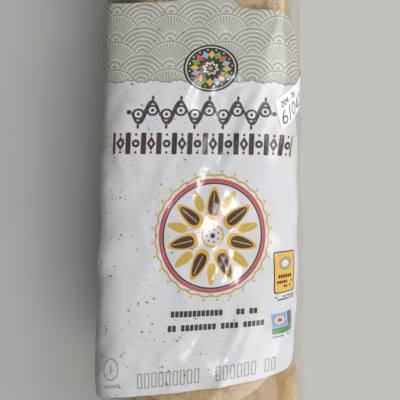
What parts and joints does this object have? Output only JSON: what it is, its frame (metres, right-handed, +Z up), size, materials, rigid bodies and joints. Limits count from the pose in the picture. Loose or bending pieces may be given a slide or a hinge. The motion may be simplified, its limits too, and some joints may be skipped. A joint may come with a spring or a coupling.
{
  "type": "bag of english muffins",
  "caption": "Clear film bag of english muffins with a printed front, lying on its back, closed at one end and gathered at the other into a neck with a plastic clip.",
  "frame": {"origin": "the middle of the pack's flat underside, below the middle muffin of the lower layer, on the surface that it lies on", "axes": "+Y along the pack towards the gathered neck, +Z up out of the printed front, +X to the right of the print"},
  "size_m": [0.1084, 0.4074, 0.0496],
  "materials": {
    "printed_film": "glossy printed film, white with brown, gold and grey-green print",
    "clear_film": "thin clear glossy film with soft creases",
    "muffin": "browned bread crust with a pale side and flour specks",
    "clip_plastic": "satin moulded plastic",
    "label_paper": "coated label paper"
  },
  "bodies": {
    "root": {"bag": "printed_film", "clip": "clip_plastic", "date_label": "label_paper"}
  },
  "joints": []
}
